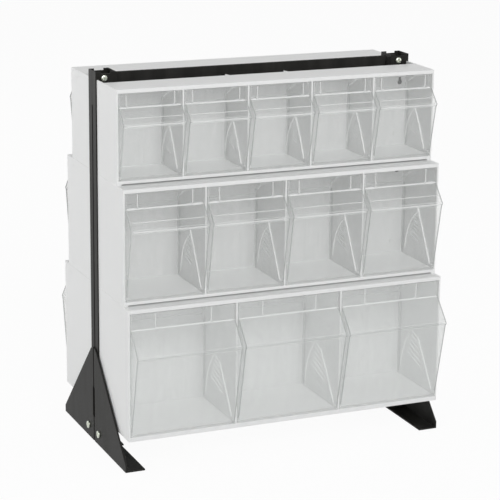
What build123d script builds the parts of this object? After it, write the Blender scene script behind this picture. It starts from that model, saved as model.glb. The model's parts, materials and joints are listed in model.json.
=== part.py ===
from build123d import *
import math
import os

os.makedirs("parts", exist_ok=True)

# A double-sided counter rack of tilt-out bins. X runs along the rack, -Y is the front
# side and +Y the rear side, Z is up. The origin lies on the counter, under the middle.

# Housings: one moulded shell for each row of cups, the same on both sides of the stand.
housing_length = 600.0
housing_wall = 3.0
back_wall = 2.5
divider_thickness = 3.0
roof_thickness = 3.0
header_height = 7.0
header_depth = 3.0
floor_thickness = 4.0
floor_top = 8.0
stack_gap = 2.5
stack_gap_depth = 10.0
corner_foot = 8.0
underside_rim = 12.0
rest_rib_width = 6.0
rest_rib_from_back = 10.0
rest_fit = 0.1
roof_step_depth = 31.0
roof_step_drop = 22.0
roof_lugs = (-69.0, 43.0)
roof_lug_width = 8.0
roof_lug_length = 14.0
housing_clearance_above_counter = 57.0

# Rows from the counter up: how many cups, the housing's height and depth, then on the
# cup the height of the crease, the height and reach of the lip, and the label's width.
rows = {
    "bottom": dict(
        cups=3, height=237.0, depth=155.0, crease=200.0, tip=159.2, reach=36.5, label=103.0
    ),
    "middle": dict(
        cups=4, height=205.0, depth=133.0, crease=170.0, tip=137.5, reach=28.2, label=100.0
    ),
    "top": dict(
        cups=5, height=165.0, depth=103.0, crease=133.0, tip=107.0, reach=24.0, label=87.0
    ),
}

# Cups: clear open-topped bins that tilt out about two studs low at the front.
cup_wall = 1.8
cup_side_gap = 1.0
cup_face_inset = 0.5
cup_floor_gap = 1.0
cup_rear_gap = 3.0
pivot_inset = 6.0
pivot_height = 17.0
stud_radius = 3.0
stud_fit = 0.08
stud_engagement = 1.2
socket_depth = 1.6
lip_face = 3.5
lip_drop = 3.7
header_clearance = 1.5
stop_catch = 2.5
stop_land = 6.0
cup_back_share = 0.72
label_depth = 0.6
label_edge = 1.5

# Holes in the housings.
keyhole_drop = 38.0
keyhole_from_end = 15.5
keyhole_radius = 4.5
keyhole_neck = 5.0
keyhole_rise = 9.0
push_rivet_height = 32.0
push_rivet_from_end = 23.0
push_rivet_shank = 2.2
push_rivet_head = 4.5
push_rivet_head_height = 1.8
push_rivet_length = 9.0
hole_fit = 0.1
mark_radius = 1.2
mark_depth = 0.8
mark_inset = 36.0
mark_drop = 13.5

# Stand: two sheet-steel frames back to back, one for each side.
sheet = 2.0
stand_beyond_housing = 2.0
upright_width = 37.0
upright_depth = 19.0
upright_above_stack = 13.5
frame_split = 2.0
clamp_height = 60.0
notch_width = 17.0
notch_depth = 3.5
rail_height = 40.0
rail_top_drop = 4.5
lower_rail_rise = 22.0
rail_tab = 12.0
rivet_radius = 2.4
rivet_head = 4.5
rivet_head_height = 1.2
rivet_spacing = 20.0

# Feet and the base channel that ties them to the uprights.
foot_sheet = 3.0
foot_reach = 170.0
foot_toe = 13.0
foot_rise = 177.0
foot_shoulder = 8.0
foot_shoulder_radius = 18.0
foot_flange = 36.0
foot_notch_low = 47.0
foot_notch_high = 102.0
foot_notch_depth = 3.0
base_half_length = 50.0
base_height = 38.0
base_width = 36.0
base_sheet = 3.0

# Bolts that clamp the two frames, and bolts that hold the feet.
frame_bolt_radius = 3.0
frame_bolt_head = 5.2
frame_bolt_head_height = 3.4
frame_bolt_from_end = 15.0
frame_bolt_from_inner = 15.0
frame_bolt_drop = 11.0
frame_bolt_tail = 9.0
nut_height = 5.0
nut_across = 10.0
foot_bolt_radius = 3.0
foot_bolt_head = 6.5
foot_bolt_head_height = 2.6
foot_bolt_out = 28.0
foot_bolt_height = 22.0
foot_bolt_tail = 8.0
bolt_fit = 0.2
recess_width = 1.6
recess_depth = 1.4

# The stand follows the housings that it carries.
upright_outer = housing_length / 2 + stand_beyond_housing
stack_top = housing_clearance_above_counter + sum(row["height"] for row in rows.values())
upright_top = stack_top + upright_above_stack


def prism(points, x_from, x_to):
    """A closed outline of (y, z) points carried along X."""
    face = Plane.YZ.offset(x_from) * make_face(Polyline(*points, close=True))
    return extrude(face, amount=x_to - x_from)


def block(x_from, x_to, y_from, y_to, z_from, z_to):
    """A box between two corners."""
    box = Box(x_to - x_from, y_to - y_from, z_to - z_from)
    return Pos((x_from + x_to) / 2, (y_from + y_to) / 2, (z_from + z_to) / 2) * box


def rod_x(radius, x_from, x_to, y, z):
    """A round rod along X."""
    rod = Rot(0, 90, 0) * Cylinder(radius, x_to - x_from)
    return Pos((x_from + x_to) / 2, y, z) * rod


def rod_y(radius, y_from, y_to, x, z):
    """A round rod along Y."""
    rod = Rot(90, 0, 0) * Cylinder(radius, y_to - y_from)
    return Pos(x, (y_from + y_to) / 2, z) * rod


def nut(bolt_radius):
    """A hexagon nut standing on the XY plane, for a bolt of this radius."""
    hexagon = RegularPolygon(nut_across / 2, 6, major_radius=False)
    return extrude(hexagon, amount=nut_height) - Cylinder(bolt_radius + hole_fit, 4 * nut_height)


def save(name, shape):
    """Write one sub-part under its own name."""
    export_step(shape, os.path.join("parts", name + ".step"))


def to_rear(shape):
    """The matching part on the rear side of the rack."""
    return mirror(shape, about=Plane.XZ)


def turned(shape):
    """The same moulding turned round to face the rear."""
    return Rot(0, 0, 180) * shape


def offset_line(a, b, distance):
    """The line from a to b moved to its left by distance."""
    length = math.dist(a, b)
    nx = -(b[1] - a[1]) / length
    ny = (b[0] - a[0]) / length
    return (
        (a[0] + nx * distance, a[1] + ny * distance),
        (b[0] + nx * distance, b[1] + ny * distance),
    )


def crossing(first, second):
    """The point where two lines cross."""
    (x1, y1), (x2, y2) = first
    (x3, y3), (x4, y4) = second
    under = (x1 - x2) * (y3 - y4) - (y1 - y2) * (x3 - x4)
    one = x1 * y2 - y1 * x2
    two = x3 * y4 - y3 * x4
    x = (one * (x3 - x4) - (x1 - x2) * two) / under
    y = (one * (y3 - y4) - (y1 - y2) * two) / under
    return (x, y)


def polar(centre, radius, angle):
    """The point at a radius and an angle, in radians from +Y towards +Z."""
    return (centre[0] + radius * math.cos(angle), centre[1] + radius * math.sin(angle))


def front_face(row):
    """The Y of a row's front face on the front side."""
    return -(upright_depth + row["depth"])


def bay_edges(row):
    """The X of both walls of every bay of a row."""
    pitch = housing_length / row["cups"]
    edges = []
    for index in range(row["cups"]):
        left = -housing_length / 2 + index * pitch
        right = left + pitch
        left_wall = housing_wall if index == 0 else divider_thickness / 2
        last = index == row["cups"] - 1
        right_wall = housing_wall if last else divider_thickness / 2
        edges.append((left + left_wall, right - right_wall))
    return edges


def make_housing(row, base, on_another):
    """One moulded housing: a shell with a bay for each cup, open at the front."""
    front = front_face(row)
    depth = row["depth"]
    back = front + depth
    top = base + row["height"]
    half = housing_length / 2
    shell = block(-half, half, front, back, base, top)

    # The roof slopes down towards the stand between the end walls, and two pointed
    # lugs stand on the slope, level with the roof.
    step_top = back - roof_step_depth
    slope = offset_line((back, top - roof_step_drop), (step_top, top), roof_thickness)
    removed = [(step_top, top), (back, top - roof_step_drop), (back, top)]
    roof_cut = prism(removed, -half + housing_wall, half - housing_wall)
    for x in roof_lugs:
        corners = [
            (x - roof_lug_width / 2, step_top), (x + roof_lug_width / 2, step_top),
            (x, step_top + roof_lug_length),
        ]
        plan = Plane.XY.offset(base) * make_face(Polyline(*corners, close=True))
        roof_cut -= extrude(plan, amount=row["height"])
    shell -= roof_cut

    # Each bay is open at the front below a header, and follows the step of the roof.
    inner_back = back - back_wall
    roof_under = top - roof_thickness
    level = ((front, roof_under), (back, roof_under))
    upright_line = ((inner_back, base), (inner_back, top))
    bay = [
        (front - 1, base + floor_top),
        (inner_back, base + floor_top),
        crossing(slope, upright_line),
        crossing(slope, level),
        (front + header_depth, roof_under),
        (front + header_depth, top - header_height),
        (front - 1, top - header_height),
    ]
    edges = bay_edges(row)
    for left, right in edges:
        shell -= prism(bay, left, right)

    # A low rib near the back of each bay carries the closed cup.
    rib_back = inner_back - rest_rib_from_back
    rib_top = base + floor_top + cup_floor_gap - rest_fit
    shell += block(
        -half + housing_wall, half - housing_wall,
        rib_back - rest_rib_width, rib_back, base + floor_top, rib_top,
    )

    # The underside is hollow below the floor, and a housing that stands on another
    # one leaves a shadow gap along its front.
    under = base + floor_top - floor_thickness
    for left, right in edges:
        shell -= block(
            left + corner_foot, right - corner_foot,
            front + underside_rim, back - underside_rim, base - 1, under,
        )
    if on_another:
        shell -= block(
            -half + corner_foot, half - corner_foot,
            front - 1, front + stack_gap_depth, base - 1, base + stack_gap,
        )

    # Sockets for the studs: through the dividers, blind in the end walls.
    pivot_y = front + pivot_inset
    pivot_z = base + pivot_height
    reach = half - housing_wall + socket_depth
    shell -= rod_x(stud_radius + stud_fit, -reach, reach, pivot_y, pivot_z)

    # Keyholes and rivet holes through the back wall, and marks on the end walls.
    for side in (-1, 1):
        x = side * (half - keyhole_from_end)
        z = top - keyhole_drop
        shell -= rod_y(keyhole_radius, inner_back - 1, back + 1, x, z)
        shell -= block(
            x - keyhole_neck / 2, x + keyhole_neck / 2,
            inner_back - 1, back + 1, z, z + keyhole_rise,
        )
        x = side * (half - push_rivet_from_end)
        z = base + push_rivet_height
        shell -= rod_y(push_rivet_shank + hole_fit, inner_back - 1, back + 1, x, z)
        outside = side * half
        inside = side * (half - mark_depth)
        shell -= rod_x(
            mark_radius, min(outside, inside), max(outside, inside),
            front + mark_inset, top - mark_drop,
        )
    return shell


def cup_outline(row, front, base):
    """Named points of a cup seen from the side, as (y, z)."""
    top = base + row["height"]
    pivot = (front + pivot_inset, base + pivot_height)
    header_y = front + header_depth
    header_radius = math.dist(pivot, (header_y, top - header_height))
    arc_radius = header_radius - header_clearance
    catch_radius = header_radius + stop_catch
    rear = front + row["depth"] - back_wall - cup_rear_gap
    face = front + cup_face_inset
    lip = (front - row["reach"], base + row["tip"])
    under_lip = (lip[0] + lip_face, lip[1] - lip_drop)

    # The toe is an arc about the pivot, so the cup tips without meeting the floor, and
    # the lower front panel leaves it as a tangent.
    toe_radius = pivot_height - floor_top - cup_floor_gap
    bearing = math.atan2(under_lip[1] - pivot[1], under_lip[0] - pivot[0])
    toe_angle = bearing + math.acos(toe_radius / math.dist(pivot, under_lip))

    # The stop is the corner left on the side wall between the arc and the rear wall: at
    # full tilt it comes up against the back of the header.
    rear_angle = math.acos((rear - pivot[0]) / catch_radius)
    lead = rear_angle + stop_land / catch_radius
    return dict(
        pivot=pivot,
        crown=(face, pivot[1] + arc_radius),
        crease=(face, base + row["crease"]),
        lip=lip,
        under_lip=under_lip,
        toe_radius=toe_radius,
        toe_angle=toe_angle,
        rear_low=(rear, pivot[1] - toe_radius),
        rear_high=polar(pivot, catch_radius, rear_angle),
        catch_mid=polar(pivot, catch_radius, (rear_angle + lead) / 2),
        catch_end=polar(pivot, catch_radius, lead),
        arc_start=polar(pivot, arc_radius, lead),
        arc_mid=polar(pivot, arc_radius, (lead + math.pi / 2) / 2),
        arc_end=polar(pivot, arc_radius, math.pi / 2),
        back_top=base + cup_back_share * row["height"],
    )


def toe_arc(p, inset):
    """The arc of the toe, moved inwards by inset: its start, middle and end."""
    radius = p["toe_radius"] - inset
    bottom = 3 * math.pi / 2
    angles = (p["toe_angle"], (p["toe_angle"] + bottom) / 2, bottom)
    return [polar(p["pivot"], radius, angle) for angle in angles]


def side_face(curves, x):
    """A face across X from curves drawn as (y, z)."""
    outline = make_face([edge for curve in curves for edge in curve.edges()])
    return Plane.YZ.offset(x) * outline


def make_cup(row, base):
    """One clear cup in the first bay of its row, closed."""
    left = bay_edges(row)[0][0]
    x_from = left + cup_side_gap
    x_to = x_from + cup_width(row)
    above = base + row["height"]
    p = cup_outline(row, front_face(row), base)
    toe = toe_arc(p, 0)
    outside = [
        Polyline(p["arc_end"], p["crown"], p["crease"], p["lip"], p["under_lip"], toe[0]),
        ThreePointArc(*toe),
        Polyline(toe[2], p["rear_low"], p["rear_high"]),
        ThreePointArc(p["rear_high"], p["catch_mid"], p["catch_end"]),
        Line(p["catch_end"], p["arc_start"]),
        ThreePointArc(p["arc_start"], p["arc_mid"], p["arc_end"]),
    ]
    cup = extrude(side_face(outside, x_from), amount=x_to - x_from)

    # The inside follows the front wall and the floor, and is open above.
    upper = offset_line(p["crown"], p["crease"], cup_wall)
    slope = offset_line(p["crease"], p["lip"], cup_wall)
    lower = offset_line(p["under_lip"], toe[0], cup_wall)
    inner_toe = toe_arc(p, cup_wall)
    rear = p["rear_low"][0]
    over = rear + cup_wall
    inside = [
        ThreePointArc(*inner_toe),
        Polyline(
            inner_toe[2], (rear - cup_wall, inner_toe[2][1]),
            (rear - cup_wall, p["back_top"]), (over, p["back_top"]), (over, above),
            (upper[0][0], above), crossing(upper, slope), crossing(slope, lower),
            inner_toe[0],
        ),
    ]
    hollow = side_face(inside, x_from + cup_wall)
    cup -= extrude(hollow, amount=x_to - x_from - 2 * cup_wall)

    # A shallow label panel on the upper front.
    middle = (x_from + x_to) / 2
    cup -= block(
        middle - row["label"] / 2, middle + row["label"] / 2,
        p["crown"][0] - label_depth, p["crown"][0] + label_depth,
        p["crease"][1] + label_edge, above,
    )
    stud = stud_engagement + cup_side_gap
    cup += rod_x(stud_radius, x_from - stud, x_from + cup_wall, *p["pivot"])
    cup += rod_x(stud_radius, x_to - cup_wall, x_to + stud, *p["pivot"])
    return cup


def cup_width(row):
    """The width over a cup's side walls, which is the same along its row."""
    narrowest = min(right - left for left, right in bay_edges(row))
    return narrowest - 2 * cup_side_gap


def make_upright(x_side):
    """One rolled channel of the front frame, open towards the middle of the rack."""
    bottom = foot_sheet + base_height
    outer = upright_outer
    inner = upright_outer - upright_width
    web = block(inner, outer, -upright_depth, -upright_depth + sheet, bottom, upright_top)
    middle = (inner + outer) / 2
    web -= block(
        middle - notch_width / 2, middle + notch_width / 2,
        -upright_depth - 1, -upright_depth + sheet + 1,
        upright_top - notch_depth, upright_top + 1,
    )
    channel = web
    for x_from in (inner, outer - sheet):
        x_to = x_from + sheet
        channel += block(x_from, x_to, -upright_depth, -frame_split, bottom, upright_top)
        channel += block(
            x_from, x_to, -upright_depth, 0, upright_top - clamp_height, upright_top
        )
    if x_side < 0:
        channel = mirror(channel, about=Plane.YZ)
    channel -= rod_y(
        frame_bolt_radius + bolt_fit, -upright_depth - 1, 0, frame_bolt_x(x_side),
        upright_top - frame_bolt_drop,
    )
    for x, z in push_rivet_places():
        if x * x_side > 0:
            channel -= rod_y(push_rivet_shank + hole_fit, -upright_depth - 1, 0, x, z)
    for low in (top_rail_low(), lower_rail_low()):
        for z in rivet_heights(low):
            hole = (rivet_radius + hole_fit, inner - 1, inner + sheet + 1)
            if x_side > 0:
                channel -= rod_x(*hole, rivet_y(), z)
            else:
                channel -= rod_x(hole[0], -hole[2], -hole[1], rivet_y(), z)
    return channel


def frame_bolt_x(x_side):
    """Both uprights are drilled alike, each at the same distance from its left edge."""
    if x_side < 0:
        return -upright_outer + frame_bolt_from_end
    return upright_outer - upright_width + frame_bolt_from_inner


def row_bases():
    """The Z of the underside of each housing."""
    bases = {}
    height = housing_clearance_above_counter
    for name, row in rows.items():
        bases[name] = height
        height += row["height"]
    return bases


def push_rivet_places():
    """The X and Z of the push rivets that hold the housings to the uprights."""
    x = housing_length / 2 - push_rivet_from_end
    heights = [base + push_rivet_height for base in row_bases().values()]
    return [(side * x, z) for z in heights for side in (-1, 1)]


def top_rail_low():
    """The Z of the lower edge of the top rails."""
    return upright_top - rail_top_drop - rail_height


def lower_rail_low():
    """The Z of the lower edge of the lower rails."""
    return housing_clearance_above_counter + lower_rail_rise


def rivet_heights(low):
    """The Z of the two rivets at each end of a rail."""
    middle = low + rail_height / 2
    return (middle - rivet_spacing / 2, middle + rivet_spacing / 2)


def rivet_y():
    """The Y of the rivets of the front frame."""
    return -(frame_split + sheet + rail_tab / 2)


def make_rail(low):
    """A cross rail of the front frame, with a tab bent forward at each end."""
    reach = upright_outer - upright_width
    web_front = -(frame_split + sheet)
    rail = block(-reach, reach, web_front, -frame_split, low, low + rail_height)
    for x_from in (-reach, reach - sheet):
        rail += block(
            x_from, x_from + sheet, web_front - rail_tab, web_front, low, low + rail_height
        )
        for z in rivet_heights(low):
            rail -= rod_x(
                rivet_radius + hole_fit, x_from - 1, x_from + sheet + 1, rivet_y(), z
            )
    return rail


def make_rivets():
    """Every blind rivet that holds a rail tab to an upright."""
    joint = upright_outer - upright_width
    rivets = []
    for low in (top_rail_low(), lower_rail_low()):
        for z in rivet_heights(low):
            for side in (-1, 1):
                shank_from = joint - sheet
                shank_to = joint + sheet
                for y in (rivet_y(), -rivet_y()):
                    rivet = rod_x(rivet_radius, shank_from, shank_to, y, z)
                    rivet += rod_x(rivet_head, shank_from - rivet_head_height, shank_from, y, z)
                    rivet += rod_x(rivet_head, shank_to, shank_to + rivet_head_height, y, z)
                    if side < 0:
                        rivet = mirror(rivet, about=Plane.YZ)
                    rivets.append(rivet)
    return rivets


def make_foot():
    """The front foot at the right end: a gusset with a flange turned in at the bottom."""
    inner = -frame_split
    outer_x = upright_outer + foot_sheet
    corners = [
        (inner, 0), (-foot_reach, 0), (-foot_reach, foot_toe),
        (inner - foot_shoulder, foot_rise), (inner, foot_rise),
    ]
    outline = make_face(Polyline(*corners, close=True))
    shoulder = outline.vertices().sort_by(Axis.Y)[-2:].sort_by(Axis.X)[0]
    outline = fillet(shoulder, foot_shoulder_radius)
    foot = extrude(Plane.YZ.offset(upright_outer) * outline, amount=foot_sheet)
    foot -= block(
        upright_outer - 1, outer_x + 1, inner - foot_notch_depth, inner + 1,
        foot_notch_low, foot_notch_high,
    )
    foot += block(outer_x - foot_flange, outer_x, -foot_reach, inner, 0, foot_sheet)
    foot -= rod_x(
        foot_bolt_radius + bolt_fit, upright_outer - 1, outer_x + 1,
        -foot_bolt_out, foot_bolt_height,
    )
    return foot


def make_base_channel():
    """The channel at the right end that the uprights stand on and the feet bolt to."""
    outer = upright_outer
    low = foot_sheet
    high = foot_sheet + base_height
    half = base_half_length
    channel = block(outer - base_sheet, outer, -half, half, low, high)
    for z in (low, high - base_sheet):
        channel += block(outer - base_width, outer, -half, half, z, z + base_sheet)
    for y in (-foot_bolt_out, foot_bolt_out):
        channel -= rod_x(
            foot_bolt_radius + bolt_fit, outer - base_sheet - 1, outer + 1,
            y, foot_bolt_height,
        )
    return channel


def make_frame_bolts():
    """The pan-head bolts that clamp the two frames at the top, and their nuts."""
    z = upright_top - frame_bolt_drop
    bolts = []
    nuts = []
    for side in (-1, 1):
        x = frame_bolt_x(side)
        tail_end = upright_depth + frame_bolt_tail
        bolt = rod_y(frame_bolt_radius, -upright_depth, tail_end, x, z)
        head_front = -upright_depth - frame_bolt_head_height
        bolt += rod_y(frame_bolt_head, head_front, -upright_depth, x, z)
        for turn in (0, 90):
            slot = Box(frame_bolt_head, 2 * recess_depth, recess_width)
            bolt -= Pos(x, head_front, z) * (Rot(0, turn, 0) * slot)
        bolts.append(bolt)
        upright_nut = Rot(-90, 0, 0) * nut(frame_bolt_radius)
        nuts.append(Pos(x, upright_depth, z) * upright_nut)
    return bolts, nuts


def make_foot_bolts():
    """The bolts that hold the feet to the base channels, and their nuts."""
    bolts = []
    nuts = []
    outside = upright_outer + foot_sheet
    inside = upright_outer - base_sheet
    for y in (-foot_bolt_out, foot_bolt_out):
        bolt = rod_x(foot_bolt_radius, inside - foot_bolt_tail, outside, y, foot_bolt_height)
        bolt += rod_x(
            foot_bolt_head, outside, outside + foot_bolt_head_height, y, foot_bolt_height
        )
        channel_nut = Pos(inside, y, foot_bolt_height) * (Rot(0, -90, 0) * nut(foot_bolt_radius))
        bolts += [bolt, mirror(bolt, about=Plane.YZ)]
        nuts += [channel_nut, mirror(channel_nut, about=Plane.YZ)]
    return bolts, nuts


def make_push_rivets():
    """The plastic push rivets through the back walls into the uprights."""
    rivets = []
    inner_face = -(upright_depth + back_wall)
    head_front = inner_face - push_rivet_head_height
    for x, z in push_rivet_places():
        rivet = rod_y(push_rivet_shank, inner_face, inner_face + push_rivet_length, x, z)
        rivet += rod_y(push_rivet_head, head_front, inner_face, x, z)
        rivets += [rivet, to_rear(rivet)]
    return rivets


bases = row_bases()
for row_name, row in rows.items():
    housing = make_housing(row, bases[row_name], row_name != "bottom")
    save("housing_front_" + row_name, housing)
    save("housing_rear_" + row_name, turned(housing))
    first_cup = make_cup(row, bases[row_name])
    first_middle = first_cup.bounding_box().center().X
    for index, (left, right) in enumerate(bay_edges(row)):
        cup = Pos((left + right) / 2 - first_middle, 0, 0) * first_cup
        save("cup_front_" + row_name + "_" + str(index + 1), cup)
        save("cup_rear_" + row_name + "_" + str(index + 1), to_rear(cup))

for side, side_name in ((-1, "left"), (1, "right")):
    upright = make_upright(side)
    save("upright_front_" + side_name, upright)
    save("upright_rear_" + side_name, to_rear(upright))

for rail_name, low in (("top_rail", top_rail_low()), ("lower_rail", lower_rail_low())):
    rail = make_rail(low)
    save(rail_name + "_front", rail)
    save(rail_name + "_rear", to_rear(rail))

foot = make_foot()
base_channel = make_base_channel()
save("foot_front_right", foot)
save("foot_rear_right", to_rear(foot))
save("foot_front_left", mirror(foot, about=Plane.YZ))
save("foot_rear_left", to_rear(mirror(foot, about=Plane.YZ)))
save("base_channel_right", base_channel)
save("base_channel_left", mirror(base_channel, about=Plane.YZ))

frame_bolts, frame_nuts = make_frame_bolts()
foot_bolts, foot_nuts = make_foot_bolts()
save("frame_bolts", Compound(children=frame_bolts))
save("frame_nuts", Compound(children=frame_nuts))
save("foot_bolts", Compound(children=foot_bolts))
save("foot_nuts", Compound(children=foot_nuts))
save("push_rivets", Compound(children=make_push_rivets()))
save("rail_rivets", Compound(children=make_rivets()))
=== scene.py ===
# %% [markdown]
# # A two-sided rack of tilt-out bins
# The rack is a dark steel stand with three white housings on each side. Every housing
# holds a row of clear cups that tip forward about two studs near their lower front edge.
# This lesson dresses the measured solids: it rounds the edges that a mould leaves round,
# draws the fine lines that make clear plastic readable, and mixes the finishes.

# %% Load the measured model
import json
import math
from functools import cached_property

import bmesh
import bpy
import numpy as np
from mathutils import Matrix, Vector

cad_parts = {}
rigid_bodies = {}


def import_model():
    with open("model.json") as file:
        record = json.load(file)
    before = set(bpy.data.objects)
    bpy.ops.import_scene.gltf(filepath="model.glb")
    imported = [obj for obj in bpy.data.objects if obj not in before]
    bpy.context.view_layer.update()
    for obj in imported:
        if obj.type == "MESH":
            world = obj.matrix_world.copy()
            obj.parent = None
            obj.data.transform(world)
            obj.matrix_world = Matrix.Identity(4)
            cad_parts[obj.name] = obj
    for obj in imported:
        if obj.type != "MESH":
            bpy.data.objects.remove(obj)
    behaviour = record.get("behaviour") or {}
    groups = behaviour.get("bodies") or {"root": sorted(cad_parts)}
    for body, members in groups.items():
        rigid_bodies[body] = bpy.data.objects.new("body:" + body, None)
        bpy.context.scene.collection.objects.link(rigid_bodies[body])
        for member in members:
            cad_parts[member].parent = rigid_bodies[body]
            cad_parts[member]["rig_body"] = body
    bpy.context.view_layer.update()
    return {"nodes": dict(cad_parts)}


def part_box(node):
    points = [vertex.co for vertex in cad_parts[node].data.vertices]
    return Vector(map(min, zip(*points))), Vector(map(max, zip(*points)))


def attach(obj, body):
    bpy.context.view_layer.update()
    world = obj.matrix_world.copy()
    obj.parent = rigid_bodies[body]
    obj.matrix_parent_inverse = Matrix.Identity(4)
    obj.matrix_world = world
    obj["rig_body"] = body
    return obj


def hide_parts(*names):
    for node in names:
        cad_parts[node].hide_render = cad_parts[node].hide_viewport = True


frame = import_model()
mm = 0.001

# %% [markdown]
# ## Where the rows are
# The solids already say where each row stands, so the places are read from them. Only the
# shape of a cup's front is given here, in millimetres. Its upright part ends below at the
# crease, and from there it leans out to the tip of the lip, by the reach. Both heights go
# up from the housing's underside. The label is the width of the panel above the crease
# that is kept for one.

# %% Rows of cups
rows = {
    "top": dict(crease=133.0, tip=107.0, reach=24.0, label=87.0),
    "middle": dict(crease=170.0, tip=137.5, reach=28.2, label=100.0),
    "bottom": dict(crease=200.0, tip=159.2, reach=36.5, label=103.0),
}

for name, row in rows.items():
    low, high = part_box("housing_front_" + name)
    row["front"], row["base"] = low.y / mm, low.z / mm
    row["height"], row["depth"] = (high.z - low.z) / mm, (high.y - low.y) / mm
    print(name, "front face", round(row["front"], 1), "underside", round(row["base"], 1))

# %% [markdown]
# ## A small language for finishes
# Blender's materials are graphs of nodes. Wiring them one by one hides what they say, so
# this class wraps an output of a node: adding or multiplying two of them adds the Math
# node that does it, and a | b is the larger of the two, which for masks means either.

# %% Arithmetic on nodes
class Signal:
    """One output of a node. Arithmetic on it adds Math nodes to the same finish."""

    def __init__(self, finish, socket):
        self.finish = finish
        self.socket = socket

    def math(self, operation, first, second):
        settings = {"operation": operation}
        return self.finish.node("ShaderNodeMath", settings, {0: first, 1: second})

    def __add__(self, other):
        return self.math("ADD", self, other)

    def __sub__(self, other):
        return self.math("SUBTRACT", self, other)

    def __rsub__(self, other):
        return self.math("SUBTRACT", other, self)

    def __mul__(self, other):
        return self.math("MULTIPLY", self, other)

    def __or__(self, other):
        return self.math("MAXIMUM", self, other)

    __radd__ = __add__
    __rmul__ = __mul__
    __ror__ = __or__


print("signals can be added, subtracted, multiplied and joined with |")

# %% [markdown]
# Every other node comes from one method. It makes the node's settings first, because some
# of them decide which sockets there are, and then it feeds the sockets. The few methods
# after it name the nodes that these finishes use again and again.

# %% Making any node
class Finish:
    """The nodes of a material or a world, and the one method that adds a node to them."""

    def __init__(self, owner):
        self.owner = owner
        owner.use_nodes = True
        self.tree = owner.node_tree
        self.tree.nodes.clear()

    @cached_property
    def place(self):
        """Where a point lies on its piece, in metres."""
        return self.node("ShaderNodeTexCoord", out="Object")

    def node(self, kind, settings=None, sockets=None, out=0):
        """A node of this kind with its settings made first, then its sockets fed."""
        made = self.tree.nodes.new(kind)
        settings = dict(settings or {})
        stops = settings.pop("stops", ())
        for key, value in settings.items():
            setattr(made, key, value)
        for number, (at, level) in enumerate(stops):
            made.color_ramp.elements[number].position = at
            made.color_ramp.elements[number].color = (level, level, level, 1.0)
        for key, value in (sockets or {}).items():
            if isinstance(value, Signal):
                self.tree.links.new(value.socket, made.inputs[key])
            else:
                made.inputs[key].default_value = value
        return Signal(self, made.outputs[out]) if len(made.outputs) else None

    def noise(self, scale, detail=2.0, roughness=0.5, place=None):
        """Soft noise about 0.5, with features of about 1 / scale metres."""
        sockets = {"Vector": place or self.place, "Scale": scale, "Detail": detail,
                   "Roughness": roughness}
        return self.node("ShaderNodeTexNoise", {}, sockets)

    def stretched(self, *scale):
        """The place with its x, y and z multiplied, so that noise on it turns into streaks."""
        return self.node("ShaderNodeMapping", {}, {"Vector": self.place, "Scale": scale})

    def ramp(self, signal, *stops):
        """A number turned into another along a ramp of (position, level)."""
        return self.node("ShaderNodeValToRGB", {"stops": stops}, {"Fac": signal})

    def mix(self, share, first, second):
        """Two colours mixed by a share from 0 to 1. A Mix node's colours are at 6, 7 and 2."""
        sockets = {0: share, 6: first, 7: second}
        return self.node("ShaderNodeMix", {"data_type": "RGBA"}, sockets, out=2)

    def bump(self, height, distance, strength):
        """A normal that follows a height from 0 to 1, times a distance in metres."""
        sockets = {"Height": height, "Distance": distance, "Strength": strength}
        return self.node("ShaderNodeBump", {}, sockets)

    def surface(self, **sockets):
        """The shader itself, and the finished material."""
        named = {key.replace("_", " "): value for key, value in sockets.items()}
        shader = self.node("ShaderNodeBsdfPrincipled", {}, named)
        self.node("ShaderNodeOutputMaterial", {}, {"Surface": shader})
        return self.owner


print("finishes can be written as arithmetic now")

# %% [markdown]
# ## Moulded white plastic
# The housings are injection moulded and left as the mould made them. Three things keep
# such a surface from looking painted: a fine grain from the mould's spark-eroded wall, a
# sheen that drifts a little from place to place, and a colour that is never quite even.
# A picture of plastic could be laid over the mesh, but it would repeat and blur up close.
# Noise that is worked out from a point's place does neither.

# %% Housing plastic
def housing_finish():
    """Off-white with slow clouds of tone, a fine grain and a drifting sheen."""
    f = Finish(bpy.data.materials.new("housing_plastic"))
    clouds = f.noise(9.0, 3.0)
    grain = f.noise(1400.0, 2.0)
    ripple = f.noise(32.0, 1.0)
    tone = f.mix(clouds, (0.852, 0.860, 0.856, 1), (0.888, 0.894, 0.890, 1))
    height = grain * 0.35 + ripple * 0.65
    return f.surface(
        Base_Color=tone,
        Roughness=0.36 + clouds * 0.16 + grain * 0.05,
        IOR=1.49,
        Coat_Weight=0.08,
        Normal=f.bump(height, 0.00012, 0.5),
    )


housing_plastic = housing_finish()
print(housing_plastic.name)

# %% [markdown]
# ## Clear cup plastic
# Clear bins are never quite clear. Flow marks, dust and fine scratches scatter light, so a
# wall hides a little of what is behind it and turns it paler, more so where it is seen
# nearly edge on, because light then crosses more of it. True refraction would show that
# too, but it is noisy and few viewers can show it. So the wall is a pale surface that is
# mostly let through.
#
# Two more habits of clear plastic are written in directly. It leads light along inside
# itself and lets it out at floors, ribs and edges. A faint glow stands for that: it is
# painted light, an emission in the plastic's own tint. And its shadow is weaker than it
# looks, because most of a lamp's light goes through it, so the haze is cut down for the
# rays that ask for a shadow.

# %% Cup plastic
# painted shade: a grey for clear plastic seen edge on and for the dark back corners
painted_shade_grey = (0.50, 0.52, 0.51, 1)
lamp_light_let_by = 0.7


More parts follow.
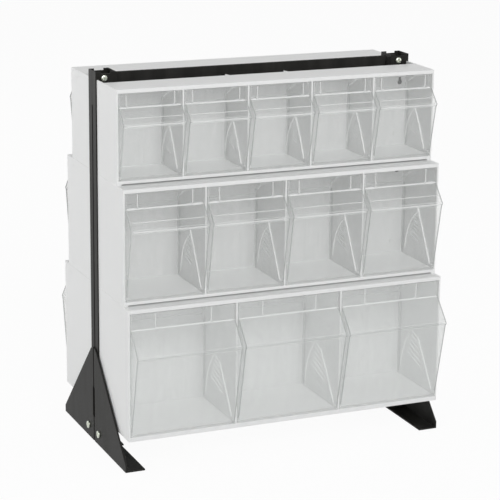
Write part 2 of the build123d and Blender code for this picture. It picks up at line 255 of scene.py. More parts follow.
def cup_finish(name, cover, drift, tint, glow=0.0):
    """Haze = cover + (streaks - 0.5) drift + 0.4 drift specks + 0.3 (1 - cover) edge_on^3.

    The streaks run up the wall and the specks are dust. The colour goes from the tint to
    a grey with the square of edge_on, which is 0 straight on and 1 along the wall: that
    grey is painted shade. The glow is painted light, an emission in the tint's colour.
    """
    f = Finish(bpy.data.materials.new(name))
    streaks = f.noise(3.0, 4.0, 0.6, f.stretched(22.0, 22.0, 1.6))
    dust = f.noise(260.0, 3.0, 0.7)
    specks = f.ramp(dust, (0.60, 0.0), (0.72, 1.0))
    edge_on = f.node("ShaderNodeLayerWeight", {}, {"Blend": 0.35}, out="Facing")
    haze = cover + (streaks - 0.5) * drift + specks * (0.4 * drift)
    haze = haze + edge_on * edge_on * edge_on * (0.3 * (1.0 - cover))
    shadow = f.node("ShaderNodeLightPath", out="Is Shadow Ray")
    streak_tint = tuple(0.95 * level for level in tint[:3]) + (1,)
    return f.surface(
        # painted shade: the colour turns grey as the wall is seen more edge on
        Base_Color=f.mix(edge_on * edge_on, f.mix(streaks, tint, streak_tint), painted_shade_grey),
        Roughness=0.12 + dust * 0.16,
        IOR=1.49,
        Alpha=haze * (1.0 - shadow * lamp_light_let_by),
        # painted light: the plastic glows in its tint, though it is no lamp
        Emission_Color=tint,
        Emission_Strength=glow,
        Normal=f.bump(streaks, 0.0004, 0.3),
    )


# %% [markdown]
# A cup needs several mixtures of that plastic: its floor, its edges and its ribs hide
# more than its walls, and they carry a painted glow that stands for light gathering in
# them, though they are no lamp. The thick rounds and rims that are seen along their length
# are painted grey, as painted shade for the dark lines that clear plastic shows there. The
# walls differ from row to row: the bottom row's are the palest and the haziest. A front
# wall's haze and a side wall's haze are given for each row, then the shade that its pale
# tint is multiplied by, and the glow of its sides, which is painted light too.

# %% The cups' finishes
nearly_white = (0.98, 0.985, 0.98, 1)
faint_green = np.array([0.985, 1.0, 0.993])
# painted light: the floor, edge and rib finishes end with a glow, so they shine though they are
# no lamp
cup_floor = cup_finish("cup_floor", 0.50, 0.10, nearly_white, 0.14)
cup_edge = cup_finish("cup_edge", 0.40, 0.16, (0.96, 0.97, 0.965, 1), 0.07)
cup_rib = cup_finish("cup_rib", 0.55, 0.14, nearly_white, 0.18)
# painted shade: a grey finish for the dark bands in the back corners
cup_painted_shade = cup_finish("cup_painted_shade", 0.13, 0.05, painted_shade_grey)
# painted shade: the rims' grey stands for the dark line of a clear edge seen along it
cup_rim_painted_shade = cup_finish("cup_rim_painted_shade", 0.60, 0.10, (0.54, 0.56, 0.55, 1))

# painted light: the last column is the glow of a row's side walls, and a quarter of it on its
# fronts
for name, front, side, shade, glow in (
    ("top", 0.13, 0.05, 0.82, 0.0),
    ("middle", 0.13, 0.05, 0.82, 0.0),
    ("bottom", 0.20, 0.26, 0.93, 0.10),
):
    clear = (*(shade * faint_green), 1)
    rows[name]["side_finish"] = cup_finish("cup_side_" + name, side, 0.04, clear, glow)
    rows[name]["front_finish"] = cup_finish("cup_front_" + name, front, 0.12, clear, glow / 4)
    print(name, "row: its fronts hide", front, "and its sides", side)

# %% [markdown]
# ## Powder coat
# The stand's steel is powder coated: a thick matt skin with the shallow dimples called
# orange peel, a few millimetres across, and a scatter of finer grains. The dimples are
# far too shallow to be worth modelling, so two noises drive a bump instead. A third one,
# drawn out upwards, makes tall patches that are a little paler and rougher, as if rubbed.

# %% Stand paint
def stand_finish():
    """Dark grey with orange peel, fine grain and a slightly uneven sheen."""
    f = Finish(bpy.data.materials.new("stand_paint"))
    peel = f.noise(420.0, 2.0)
    grain = f.noise(2600.0, 2.0)
    clouds = f.noise(14.0, 3.0)
    tall_patches = f.noise(38.0, 3.0, 0.6, f.stretched(1.0, 1.0, 0.22))
    rubbed = f.ramp(tall_patches, (0.38, 0.0), (0.72, 1.0))
    dark = f.mix(clouds, (0.010, 0.0098, 0.0090, 1), (0.017, 0.0166, 0.0152, 1))
    height = peel * 0.75 + grain * 0.25
    return f.surface(
        Base_Color=f.mix(rubbed, dark, (0.026, 0.0255, 0.0235, 1)),
        Roughness=0.44 + peel * 0.12 + rubbed * 0.10,
        IOR=1.24,
        Normal=f.bump(height, 0.00025, 0.5),
    )


stand_paint = stand_finish()
print(stand_paint.name)

# %% [markdown]
# ## Zinc plate
# The screws and bolts are zinc plated. Fresh plate is a pale metal with a greenish yellow
# cast in patches, and turning marks that spread its reflections. One even grey would look
# like bare steel, so the cast and the roughness both follow small patches of noise.

# %% Fastener plate
def zinc_finish():
    """Pale metal whose cast and sheen change in small patches."""
    f = Finish(bpy.data.materials.new("fasteners_zinc"))
    patches = f.noise(240.0, 3.0)
    scratches = f.noise(1900.0, 2.0)
    return f.surface(
        Base_Color=f.mix(patches, (0.50, 0.55, 0.51, 1), (0.70, 0.71, 0.58, 1)),
        Metallic=1.0,
        Roughness=0.16 + patches * 0.16 + scratches * 0.08,
        Normal=f.bump(scratches, 0.00005, 0.4),
    )


fasteners_zinc = zinc_finish()
print(fasteners_zinc.name)

# %% [markdown]
# ## Softening the measured solids
# A solid from measurements has edges as sharp as a knife. A moulded or folded edge is
# round, and that small round is what catches a line of light. Rounds could be modelled
# edge by edge, but a Bevel modifier makes them all at once if it is told which edges are
# sharp. So each solid is copied, its loose triangles are welded, its flat faces are joined,
# and every sharp edge gets a weight.

# %% Which edges are sharp
weld_within = 0.01 * mm
flat_within = math.radians(0.5)
sharp_from = math.radians(30)
low_step = 0.8 * mm


def weigh_edges(shape, step_share):
    """Weight 1 for an edge that turns by over 30 degrees, and step_share on a low step.

    An edge lies on a low step where it meets an edge that is shorter than 0.8 mm.
    """
    weight = shape.edges.layers.float.new("bevel_weight_edge")
    for edge in shape.edges:
        if len(edge.link_faces) == 2 and edge.calc_face_angle(0.0) > sharp_from:
            beside = {other for corner in edge.verts for other in corner.link_edges} - {edge}
            on_step = any(other.calc_length() < low_step for other in beside)
            edge[weight] = step_share if on_step else 1.0


print("edges are sharp from", round(math.degrees(sharp_from)), "degrees")

# %% [markdown]
# A cup is one solid, and three of its finishes belong to whole faces. Which face gets
# which can be told from where it looks and where it lies, so nothing is picked by hand.
# The fourth, the edge plastic, goes on the strips that the Bevel makes.

# %% Faces of a cup
def cup_faces(mesh):
    """A finish's number for a cup's faces: 1 on front and back, 2 on the floor, else 0.

    A face of the front or the back has a normal with over half of its length along y. One
    of the floor looks up, by over 0.9, and lies in the lowest tenth.
    """
    count = len(mesh.polygons)
    facing, centre = np.zeros(3 * count), np.zeros(3 * count)
    mesh.polygons.foreach_get("normal", facing)
    mesh.polygons.foreach_get("center", centre)
    corners = np.zeros(3 * len(mesh.vertices))
    mesh.vertices.foreach_get("co", corners)
    rise = corners[2::3]
    low = centre[2::3] < rise.min() + (rise.max() - rise.min()) / 10
    floor = low & (facing[2::3] > 0.9)
    return np.where(np.abs(facing[1::3]) > 0.5, 1, np.where(floor, 2, 0))


sample = cup_faces(frame["nodes"]["cup_front_top_1"].data)
print("a cup's triangles on its sides, fronts and floor:", np.bincount(sample))

# %% [markdown]
# The copy stands for the solid, takes its name with _soft after it, and rides on the same
# body, so that it moves as the solid does. The solid stays behind it, hidden.

# %% Rounded copies
bodies = {name: node["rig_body"] for name, node in frame["nodes"].items()}


def softened(node, radius, slot, finishes, step_share=1.0):
    """A copy of a solid whose sharp edges are rounded by a radius in mm. It replaces it."""
    mesh = frame["nodes"][node].data.copy()
    shape = bmesh.new()
    shape.from_mesh(mesh)
    bmesh.ops.remove_doubles(shape, verts=shape.verts, dist=weld_within)
    bmesh.ops.dissolve_limit(
        shape, angle_limit=flat_within, verts=shape.verts, edges=shape.edges
    )
    weigh_edges(shape, step_share)
    shape.to_mesh(mesh)
    shape.free()
    mesh.materials.clear()
    for finish in finishes:
        mesh.materials.append(finish)
    if slot == "cup_clear":
        mesh.polygons.foreach_set("material_index", cup_faces(mesh))
    piece = bpy.data.objects.new(node + "_soft", mesh)
    bpy.context.collection.objects.link(piece)
    edge = piece.modifiers.new("edge", "BEVEL")
    edge.width = radius * mm
    edge.segments = 2
    edge.limit_method = "WEIGHT"
    edge.use_clamp_overlap = False
    edge.material = len(finishes) - 1
    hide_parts(node)
    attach(piece, bodies[node])


print(len(set(bodies.values())), "bodies to ride on")

# %% [markdown]
# Thick mouldings have large rounds, folded sheet smaller ones, and screws the smallest.
# The words in this table say which nodes are of which kind.

# %% Soften every solid
sheet_steel = ("upright", "foot_front", "foot_rear", "base_channel", "rail_")
kinds = (
    (("housing_",), 0.7, "housing_plastic", housing_plastic),
    (("push_rivets",), 0.3, "housing_plastic", housing_plastic),
    (sheet_steel, 0.5, "stand_paint", stand_paint),
    (("bolts", "nuts"), 0.25, "fasteners_zinc", fasteners_zinc),
)
cup_radius, cup_step_share = 0.75, 0.3

for node in frame["nodes"]:
    if node.startswith("cup"):
        row = rows[node.split("_")[2]]
        finishes = [row["side_finish"], row["front_finish"], cup_floor, cup_edge]
        softened(node, cup_radius, "cup_clear", finishes, cup_step_share)
    for words, radius, slot, finish in kinds:
        if any(word in node for word in words):
            softened(node, radius, slot, [finish])
print("softened", len(frame["nodes"]))

# %% [markdown]
# ## Ribs, ledges and lines on the cups
# A cup's side wall is a large thin plate, and the mould gives it ribs that keep it flat:
# one slants from the foot of the lip down to the stud, one is an arc about the stud, and a
# few short ones lie between them. The front has a lip to pull, a ledge at the crease that
# stops at both sides of the label panel, and the raised outline of that panel. In clear
# plastic these lines are nearly all that can be seen. A bump would not do for them,
# because there is hardly any surface for it to shade, so each one is modelled: half a
# round bar laid on the inside of the wall.
#
# First come the measures that the bars need, all in millimetres. A place on a cup is (y, z):
# how far in from the housing's front face, and how far up from its underside.

# %% Measures of a cup
pivot = np.array([6.0, 17.0])  # the centre of the studs
cup_wall = 1.8
stud_reach = 2.2  # from the outside of a cup's wall to the end of its stud
face_inset = 0.5  # from the housing's front face to the cup's
header_height, header_depth = 7.0, 3.0  # the strip across the top of a housing's mouth
header_clearance = 1.5  # between that strip and the rim of a cup that tips out under it
rim_end = 8.0  # where the arc of the rim stops, from the inside of the back wall
floor_inside = 10.8  # the height of the floor that the small parts lie on
back_inside = 7.3  # from the housing's back to the inside of the cup's back wall
lip_face, lip_drop = 3.5, 3.7  # how far in and down the lip's lower edge lies from its tip
toe_radius = 8.0  # the round below the studs
print("the studs lie", pivot[0], "mm in and", pivot[1], "mm up")

# %% [markdown]
# Every bar is an ellipse carried along a path, with its size drawn in at both ends. A
# curve with a bevel could make that too, but its section would be a full round, and its
# ends would be cut off square.

# %% Bars
def polyline(points, count=24):
    """Points at even steps of length along straight runs between the given points."""
    points = np.asarray(points, float)
    reach = np.concatenate([[0], np.cumsum(np.linalg.norm(np.diff(points, axis=0), axis=1))])
    at = np.linspace(0, reach[-1], count)
    return np.stack([np.interp(at, reach, column) for column in points.T], 1)


def arc(centre, radius, start, end, count):
    """Points on a circle: centre + radius (cos a, sin a), with a from start to end."""
    a = np.radians(np.linspace(start, end, count))
    return np.asarray(centre) + radius * np.stack([np.cos(a), np.sin(a)], 1)


def skin(rings, spokes):
    """The quads between rings of points, one ring after the other, closed round."""
    i, j = np.meshgrid(np.arange(rings - 1), np.arange(spokes), indexing="ij")
    k = (j + 1) % spokes
    corners = (i * spokes + j, i * spokes + k, (i + 1) * spokes + k, (i + 1) * spokes + j)
    return np.stack(corners, -1).reshape(-1, 4)


def bar(path, out, width, height, around=8):
    """A bar of elliptical section carried along a path in space, on a wall that faces out.

    A point is path + (width / 2) cos t beside + height sin t out, where beside is square
    to the path and to out. Both sizes are drawn in at the ends by the square root of the
    distance from the end. It gives the points and the quads between them.
    """
    beside = np.cross(np.gradient(path, axis=0), out)
    beside /= np.linalg.norm(beside, axis=1)[:, None]
    along = np.concatenate([[0], np.cumsum(np.linalg.norm(np.diff(path, axis=0), axis=1))])
    to_end = np.minimum(along, along[-1] - along)
    draw = np.sqrt(np.clip(to_end / width, 0, 1))[:, None, None]
    t = np.linspace(0, 2 * math.pi, around, endpoint=False)[None, :, None]
    ring = (width / 2) * np.cos(t) * beside[:, None, :] + height * np.sin(t) * np.asarray(out)
    points = path[:, None, :] + draw * ring
    return points.reshape(-1, 3), skin(len(path), around)


print("a bar of five rings of eight points has", len(skin(5, 8)), "faces")

# %% [markdown]
# Several bars make one piece. Where a bar is drawn in to nothing, its ring is one point
# eight times over. A cap over each end would do, but merging the doubles closes both ends
# at once. The faces are then turned outwards.

# %% One piece from several bars
same_point = 0.002 * mm


def merged(name, parts, finish):
    """One mesh object from (points in mm, quads) pairs, with its doubles merged."""
    points, quads, start = [], [], 0
    for part_points, part_quads in parts:
        points.append(part_points)
        quads.append(part_quads + start)
        start += len(part_points)
    mesh = bpy.data.meshes.new(name)
    mesh.from_pydata(np.concatenate(points) * mm, [], np.concatenate(quads).tolist())
    shape = bmesh.new()
    shape.from_mesh(mesh)
    bmesh.ops.remove_doubles(shape, verts=shape.verts, dist=same_point)
    bmesh.ops.recalc_face_normals(shape, faces=shape.faces)
    shape.to_mesh(mesh)
    shape.free()
    mesh.shade_smooth()
    mesh.materials.append(finish)
    piece = bpy.data.objects.new(name, mesh)
    bpy.context.collection.objects.link(piece)
    return piece


print("points within", same_point / mm, "mm become one")

# %% [markdown]
# ## The side walls
# The side ribs differ from row to row, so their places are given by row: the points of the
# slanting rib, the radius of the arc and the angles between which it runs, the number of
# short strokes, and the two ends of the lowest and of the highest stroke. The two smaller
# rows are stepped, which means that their fronts have a second line below the crease and a
# thick bead under the lip. Each kind of bar has a width along the wall and a height off it.

# %% Ribs on the side walls
rows["top"].update(
    slant=[(57, 87), (37, 54), (18, 16)], sweep=87.0, arc=(5, 62),
    strokes=6, lowest=[(74, 46), (49, 38)], highest=[(60, 70), (40, 62)],
    ledge=4.0, stepped=True,
)
rows["middle"].update(
    slant=[(66, 114), (47, 81), (10, 14)], sweep=103.0, arc=(2, 60),
    strokes=7, lowest=[(92, 56), (56, 46)], highest=[(70, 98), (60, 94)],
    ledge=5.0, stepped=True,
)
rows["bottom"].update(
    slant=[(70, 105), (43, 67), (10, 17)], sweep=127.0, arc=(2, 58),
    strokes=6, lowest=[(113, 64), (48, 46)], highest=[(90, 108), (72, 102)],
    ledge=2.4, stepped=False,
)
slant_rib, arc_rib, rim_rib = (4.6, 1.2), (2.2, 0.7), (1.8, 0.7)
stroke_rib, corner_round = (1.6, 0.8), (13.0, 0.8)
rim_inset = 0.8
corner_inset, corner_share = 6.0, 0.72


def on_wall(x, flat):
    """A path drawn as (y, z), set on the wall that stands at x."""
    return np.column_stack([np.full(len(flat), x), flat])


def side_bars(row, wall, away):
    """The long bars on one side wall, standing off it by away: the slant and two arcs.

    The upper arc lies just inside the wall's rim, whose radius about the pivot is that of
    the header's lower rear edge less a clearance. It runs from above the pivot back to
    where the rim ends, at the angle acos(distance from the pivot / radius).
    """
    out = (away, 0, 0)
    slant = polyline(row["slant"], count=28)
    sweep = arc(pivot, row["sweep"], *row["arc"], count=40)
    header = np.array([header_depth, row["height"] - header_height])
    radius = math.hypot(*(header - pivot)) - header_clearance
    rear = math.degrees(math.acos((row["depth"] - back_inside - rim_end - pivot[0]) / radius))
    rim = arc(pivot, radius - rim_inset, rear, 90, count=24)
    shapes = ((slant, slant_rib), (sweep, arc_rib), (rim, rim_rib))
    return [bar(on_wall(wall, flat), out, *size) for flat, size in shapes]


def strokes(row, wall, away):
    """The short bars of a side wall, at even steps between the lowest and the highest."""
    for share in np.linspace(0, 1, row["strokes"]):
        run = (1 - share) * np.array(row["lowest"]) + share * np.array(row["highest"])
        yield bar(on_wall(wall, polyline(run, count=10)), (away, 0, 0), *stroke_rib)


def painted_shade_corner_rounds(row, left, right):
    """The thick rounds between the side walls and the back wall, from the floor upwards.

    They stand a little in front of the back wall and end at a share of the row's height.
    Their grey finish is painted shade: it stands in for the dark band down each back corner.
    """
    back, top = row["depth"] - back_inside - corner_inset, row["height"] * corner_share
    for wall, away in ((left, 1.0), (right, -1.0)):
        flat = polyline([(back, floor_inside), (back, top)], count=16)
        yield bar(on_wall(wall, flat), (away, 0, 0), *corner_round)


print("short strokes on a side wall:", {name: row["strokes"] for name, row in rows.items()})

# %% [markdown]
# ## The fronts
# The front's lines all run in the front wall and stand out a little on both its faces, so
# a helper gives the wall's place at any height: upright above the crease, then leaning
# out to the lip. They could be strips laid on the face, but a bar that goes through the
# wall shows from both sides, as a real thickening does.

# %% Lines on the front
label_line, ledge_height, floor_line = (2.0, 1.3), 1.3, (1.6, 0.8)
crease_line, step_line = (1.1, 1.1), (1.6, 1.1)
step_line_share = 0.40  # how far up from the tip to the crease the step's line lies
label_corner, label_rise = 5.0, 1.0
ledge_rise, crease_drop = 0.5, 0.5


def front_place(row, z):
    """How far in the middle of the front wall lies at a height: upright, then leaning out."""
    lean = np.clip((row["crease"] - z) / (row["crease"] - row["tip"]), 0, 1)
    return face_inset + cup_wall / 2 - row["reach"] * lean


def level_line(row, left, right, z, inwards=0.0):
    """A straight path along X in the front wall at a height."""
    y = front_place(row, z) + inwards
    return polyline([(left, y, z), (right, y, z)])


def label_outline(row, middle):
    """Down one side of the label panel, round under it and up the other side.

    The lower corners are arcs that leave out 10 degrees at each end.
    """
    half, radius = row["label"] / 2, label_corner
    low, top = row["crease"] + label_rise, row["height"] - header_height
    corner = low + radius
    flat = np.concatenate([
        polyline([(-half, top), (-half, corner)], count=8),
        arc((radius - half, corner), radius, 190, 260, count=6),
        polyline([(radius - half, low), (half - radius, low)], count=16),
        arc((half - radius, corner), radius, 280, 350, count=6),
        polyline([(half, corner), (half, top)], count=8),
    ])
    depth = np.full(len(flat), face_inset + cup_wall / 2)
    return np.column_stack([flat[:, 0] + middle, depth, flat[:, 1]])


def front_bars(row, left, right):
    """The panel's outline, the crease's ledge beside it and the floor's back line."""
    out = (0, -1, 0)
    middle, half = (left + right) / 2, row["label"] / 2
    crease, tip = row["crease"], row["tip"]
    bars = [bar(label_outline(row, middle), out, *label_line)]
    for start, end in ((left, middle - half), (middle + half, right)):
        ledge = level_line(row, start, end, crease + ledge_rise)
        bars.append(bar(ledge, out, row["ledge"], ledge_height))
    if row["stepped"]:
        step = tip + step_line_share * (crease - tip)
        bars.append(bar(level_line(row, left, right, crease - crease_drop), out, *crease_line))
        bars.append(bar(level_line(row, left, right, step), out, *step_line))
    back = row["depth"] - back_inside
    bars.append(bar(polyline([(left, back, floor_inside), (right, back, floor_inside)]),
                    out, *floor_line))
    return bars


for name, row in rows.items():
    print(name, "row: the lip is at", round(front_place(row, row["tip"]), 2), "mm")

# %% [markdown]
# The rim is the front wall's own profile at its two ends, where it meets the side walls:
# seen there along its length, clear plastic looks grey, and the rim's grey finish is
# painted shade for that. The lip's bead is the thickened edge that a finger pulls. It is
# heavy in the stepped rows and fine in the bottom one, where it has the same painted shade.

# %% Rims and lips
rim_line = (2.0, 1.1)
heavy_bead = dict(size=(2.6, 1.4), inset=1.4, finish=cup_edge)
# painted shade: the fine bead is grey like the rims
fine_bead = dict(size=(1.5, 1.2), inset=0.6, finish=cup_rim_painted_shade)


def rims(row, left, right):
    """The front wall's profile at its ends: crease, lip, under the lip and down to the toe.

    The lower panel leaves the toe's circle as a tangent, at the angle of the lip seen from
    the pivot plus acos(toe radius / distance).
    """
    inside = cup_wall / 2
    lip = np.array([-row["reach"], row["tip"]])
    under = lip + (lip_face, -lip_drop)
    from_pivot = under - pivot
    angle = math.atan2(from_pivot[1], from_pivot[0])
    angle += math.acos(toe_radius / math.hypot(*from_pivot))
    toe = pivot + toe_radius * np.array([math.cos(angle), math.sin(angle)])
    profile = [(face_inset, row["crease"]), lip, under, toe]
    flat = polyline(profile, count=60) + (inside, 0)
    for wall in (left - inside, right + inside):
        yield bar(on_wall(wall, flat), (1, 0, 0), *rim_line)


def lip_bead(row, left, right, size, inset):
    """The lip's thick edge, as far below the tip as it is set in from the wall."""
    return bar(level_line(row, left, right, row["tip"] - inset, inset), (0, -1, 0), *size)


print("beads are", heavy_bead["size"], "and", fine_bead["size"], "mm")

# %% [markdown]
# A cup's studs end inside it in small rounded buttons. Anything turned is rings of points
# about an axis. A first and a last ring of no radius close it at its poles.

# %% Turned shapes and stud buttons
stud_button = dict(radius=2.6, height=1.1)


def turned(radii, heights, spokes=20):
    """A closed round piece: points (r cos a, r sin a, h) for rings of a radius and a height.

    The heights are one number for each ring, or one for each ring and spoke. The first and
    the last ring have no radius, so they are the two poles.
    """
    a = np.linspace(0, 2 * math.pi, spokes, endpoint=False)
    x, y = np.outer(radii, np.cos(a)), np.outer(radii, np.sin(a))
    h = np.broadcast_to(np.reshape(heights, (len(radii), -1)), x.shape)
    return np.stack([x, y, h], -1).reshape(-1, 3), skin(len(radii), spokes)


def stud_buttons(left, right):
    """The rounded inner ends of the two studs, raised by height (1 - (r / R)^2)."""
    radius, height = stud_button["radius"], stud_button["height"]
    r = np.linspace(0, radius, 6)
    rise = height * (1 - (r / radius) ** 2)
    points, quads = turned(np.append(r, 0.0), np.append(rise, 0.0))
    for wall, away in ((left, 1), (right, -1)):
        yield np.column_stack([wall + away * points[:, 2], points[:, :2] + pivot]), quads


print("a cup has", len(list(stud_buttons(0.0, 1.0))), "stud buttons")

# %% [markdown]
# ## Dressing the cups
# Now every cup gets its bars. They could be made once and copied, but a finished piece
# keeps its place in its mesh, so each cup gets bars of its own. The rear side's cups are
# the front ones turned round, so the distance from the front face is counted the other way
# there.

# %% Dress the cups
def dress(node, kind, bars, finish):
    """Move bars from a row's own measures to a cup's place, and make them ride with it."""
    side, row = node.split("_")[1], rows[node.split("_")[2]]
    placed = []
    for points, quads in bars:
        depth = row["front"] + points[:, 1]
        y = depth if side == "front" else -depth
        placed.append((np.column_stack([points[:, 0], y, points[:, 2] + row["base"]]), quads))
    piece = merged(node + "_" + kind, placed, finish)
    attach(piece, bodies[node])


cups = [node for node in frame["nodes"] if node.startswith("cup")]
for node in cups:
    row = rows[node.split("_")[2]]
    low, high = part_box(node)
    left = low.x / mm + cup_wall + stud_reach
    right = high.x / mm - cup_wall - stud_reach
    dress(node, "ribs", side_bars(row, left, 1) + side_bars(row, right, -1), cup_rib)
    short = [*strokes(row, left, 1), *strokes(row, right, -1)]
    dress(node, "strokes", short, cup_edge if row["stepped"] else cup_rib)
    dress(node, "lines", [*front_bars(row, left, right), *stud_buttons(left, right)], cup_edge)
    # painted shade: grey rounds in the back corners
    dress(node, "corners", painted_shade_corner_rounds(row, left, right), cup_painted_shade)
    # painted shade: the rims are grey
    dress(node, "rims", rims(row, left, right), cup_rim_painted_shade)
    bead = heavy_bead if row["stepped"] else fine_bead
    dress(node, "lip", [lip_bead(row, left, right, bead["size"], bead["inset"])], bead["finish"])
print("dressed", len(cups), "cups")

# %% [markdown]
# ## Bolt heads
# The two bolts that clamp the frames at the top, and the four on the feet, have low domed
# heads with a cross recess. Cutting a cross out of a dome leaves ragged faces. A dome is
# also a height over a disc, so it is worked out on rings and spokes, and the recess is
# where that height is pressed down.

# %% Domed heads with a cross recess
head_height, head_rim = 1.6, 0.4
cross_reach, cross_half_width = 0.66, 0.85
cross_end_slope, cross_side_slope, cross_depth = 0.4, 0.2, 0.95


def domed_head(radius, turn, rings=26, spokes=96):
    """A head that stands on z = 0: rim + (height - rim) (1 - (r / radius)^2).

    Inside the cross the height is multiplied by 1 - 0.95. The cross is two slots, one
    along each of two directions turned by an angle, and its walls slope a little.
    """
    half_length = cross_reach * radius
    r = radius * np.linspace(0, 1, rings)
    a = np.linspace(0, 2 * math.pi, spokes, endpoint=False)
    u = np.abs(np.outer(r, np.cos(a - turn)))
    v = np.abs(np.outer(r, np.sin(a - turn)))

    def slot(along, aside):
        """1 inside a slot, falling to 0 over its sloping ends and sides."""
        ends = np.clip((half_length - along) / cross_end_slope, 0, 1)
        return ends * np.clip((cross_half_width - aside) / cross_side_slope, 0, 1)

    h = head_rim + (head_height - head_rim) * (1 - (r[:, None] / radius) ** 2)
    h = h * (1 - cross_depth * np.maximum(slot(u, v), slot(v, u)))
    foot = np.zeros((2, spokes))
    return turned(np.concatenate([r, [radius, 0.0]]), np.concatenate([h, foot]), spokes)


print("a head has", len(domed_head(5.0, 0.0)[1]), "faces")

# %% [markdown]
# Where the heads go is read from the boxes of the two nodes of bolts. The upper bolts look
# forwards and those on the feet look out to the sides, so the dome's own z becomes -y for
# the first and x for the others.

# %% Heads on their bolts
def bolt_head(name, node, points, quads):
    """A head as a piece that rides with the node of its bolt."""
    piece = merged(name, [(points, quads)], fasteners_zinc)
    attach(piece, bodies[node])


def bolt_box(node):
    """The lowest and highest corner of a node of bolts, their radius and height, in mm."""
    low, high = (np.array(corner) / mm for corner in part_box(node))
    return low, high, (high[2] - low[2]) / 2, (high[2] + low[2]) / 2


low, high, radius, z = bolt_box("frame_bolts")
head, quads = domed_head(radius, turn=0.7)
for end, x in (("left", low[0] + radius), ("right", high[0] - radius)):
    points = np.column_stack([head[:, 0] + x, low[1] - head[:, 2], head[:, 1] + z])
    bolt_head("frame_bolt_head_" + end, "frame_bolts", points, quads)

low, high, radius, z = bolt_box("foot_bolts")
head, quads = domed_head(radius, turn=0.3)
for end, face, away in (("left", low[0], -1), ("right", high[0], 1)):
    for side, y in (("front", low[1] + radius), ("rear", high[1] - radius)):
        points = np.column_stack([face + away * head[:, 2], head[:, 0] + y, head[:, 1] + z])
        bolt_head("foot_bolt_head_%s_%s" % (side, end), "foot_bolts", points, quads)
print("head radius on the feet", round(radius, 2))

# %% [markdown]
# ## Studio
# The photograph is a catalogue one: a white sweep and broad lamps, so every side of the
# rack is lit and the shadows are faint. The floor is one large disc of paper that keeps the
# rack's shadow. Making it white with more lamps would bleach the rack as well. So rays that
# come straight from the camera, off a gloss or through glass see the floor and the sky as
# white, and all other rays see them as the lamps light them.

# %% White for the rays that look
white = (1.0, 1.0, 1.0, 1.0)


def looked_at(f):
    """1 for rays from the camera, off a gloss or through glass, and 0 for all others."""
    rays = ("Is Camera Ray", "Is Glossy Ray", "Is Transmission Ray")
    seen, mirrored, through = (f.node("ShaderNodeLightPath", out=ray) for ray in rays)
    return seen | mirrored | through


def floor_finish(white_share=0.95):
    """Paper with faint clouds, and white over it by a share for the rays that look."""
    f = Finish(bpy.data.materials.new("floor_paper"))
    tone = f.mix(f.noise(60.0, 3.0), (0.86, 0.86, 0.86, 1), (0.89, 0.89, 0.89, 1))
    paper = f.node("ShaderNodeBsdfDiffuse", {}, {"Color": tone})
    glow = f.node("ShaderNodeEmission", {}, {"Color": white, "Strength": 1.0})
    share = looked_at(f) * white_share
    both = f.node("ShaderNodeMixShader", {}, {0: share, 1: paper, 2: glow})
    f.node("ShaderNodeOutputMaterial", {}, {"Surface": both})
    return f.owner


def sky_finish(lit=0.38):
    """A white sky of strength lit for the rack, and 1 for the rays that look."""
    f = Finish(bpy.data.worlds.new("studio"))
    strength = lit + looked_at(f) * (1.0 - lit)
    sky = f.node("ShaderNodeBackground", {}, {"Color": white, "Strength": strength})
    f.node("ShaderNodeOutputWorld", {}, {"Surface": sky})
    return f.owner


bpy.context.scene.world = sky_finish()
print("sky", bpy.context.scene.world.name)

# %% [markdown]
# The floor's rings grow with the square of their number, so that its faces are small under
# the rack and large far away. A plain plane would do for flat paper. The disc also keeps
# its edge at the same distance whichever way a camera looks.

# %% Floor
def disc(name, radius, rings=24, spokes=96):
    """A flat disc: points at r cos a and r sin a, with r growing as the square of a ring."""
    r = radius * (np.arange(1, rings + 1) / rings) ** 2
    a = np.linspace(0, 2 * math.pi, spokes, endpoint=False)
    x, y = np.outer(r, np.cos(a)), np.outer(r, np.sin(a))
    around = np.stack([x, y, np.zeros_like(x)], -1).reshape(-1, 3)
    points = np.concatenate([[(0, 0, 0)], around])
    quads = skin(rings, spokes)[:, ::-1] + 1
    spoke = np.arange(spokes)
    middle = np.column_stack([np.zeros(spokes, int), spoke + 1, (spoke + 1) % spokes + 1])
    mesh = bpy.data.meshes.new(name)
    mesh.from_pydata(points, [], quads.tolist() + middle.tolist())
    made = bpy.data.objects.new(name, mesh)
    bpy.context.collection.objects.link(made)
    return made


floor = disc("floor", 14.0)
floor.data.materials.append(floor_finish())
print("floor faces up:", all(face.normal.z > 0 for face in floor.data.polygons))

# %% [markdown]
# Four square lamps stand for a studio's soft boxes. A small lamp would draw hard
# shadows under each cup, so they are 2 m wide and stand over 3 m off. The front one leads,
# and the rear one stands aside of the camera's mirror image in the roofs, which would clip
# to white otherwise.

# %% Lamps
lamp_size = 2.0
aim = np.array([0.0, 0.0, 0.34])


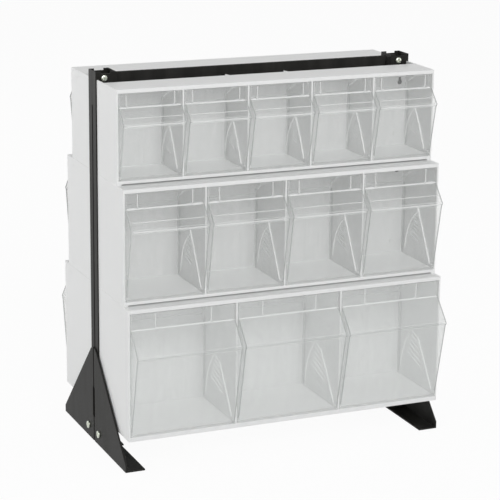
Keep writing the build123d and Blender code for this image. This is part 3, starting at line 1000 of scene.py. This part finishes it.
def lamp(name, place, power):
    """A square lamp at a place, turned to the middle of the rack."""
    data = bpy.data.lights.new(name, "AREA")
    data.size = lamp_size
    data.energy = power
    made = bpy.data.objects.new(name, data)
    bpy.context.collection.objects.link(made)
    made.location = place
    away = np.array(place) - aim
    bearing = math.atan2(away[0], -away[1])
    tilt = math.atan2(math.hypot(away[0], away[1]), away[2])
    made.rotation_euler = (tilt, 0, bearing)
    print(name, "lamp", power, "W")


lamp("front", (-0.5, -3.3, 2.2), 58)
lamp("left", (-3.6, 0.6, 0.8), 22)
lamp("right", (3.6, -0.6, 0.8), 21)
lamp("rear", (-1.7, 3.3, 1.2), 30)

# %% [markdown]
# ## Camera
# The camera's place was worked out from the corners of the housings in the photograph: how
# far round, how high and how far off it stood, and how long its lens was. A ray may cross
# many clear walls one behind the other, so more of them are allowed than Blender's eight.

# %% Camera
def camera_at(azimuth, elevation, roll, aim, distance, focal_pixels, image_pixels=500):
    """A camera at aim + distance (sin a cos e, -cos a cos e, sin e), rolled about its view."""
    a, e = math.radians(azimuth), math.radians(elevation)
    back = np.array([math.sin(a) * math.cos(e), -math.cos(a) * math.cos(e), math.sin(e)])
    right = np.array([math.cos(a), math.sin(a), 0.0])
    up = np.cross(back, right)
    turn = math.radians(roll)
    sideways = math.cos(turn) * right + math.sin(turn) * up
    upwards = math.cos(turn) * up - math.sin(turn) * right
    data = bpy.data.cameras.new("camera")
    data.sensor_width = 36.0
    data.lens = focal_pixels / image_pixels * data.sensor_width
    data.clip_end = 100.0
    made = bpy.data.objects.new("camera", data)
    bpy.context.collection.objects.link(made)
    made.location = np.array(aim) + back * distance
    made.rotation_mode = "XYZ"
    made.rotation_euler = Matrix(np.stack([sideways, upwards, back], 1)).to_euler()
    return made


camera = camera_at(
    azimuth=-23.30, elevation=15.06, roll=0.64, aim=(-0.00203, 0.0, 0.32885),
    distance=3.47165, focal_pixels=1898.9,
)
bpy.context.scene.camera = camera
bpy.context.scene.view_settings.view_transform = "Standard"
bpy.context.scene.cycles.transparent_max_bounces = 20
print("camera at", [round(v, 3) for v in camera.location])
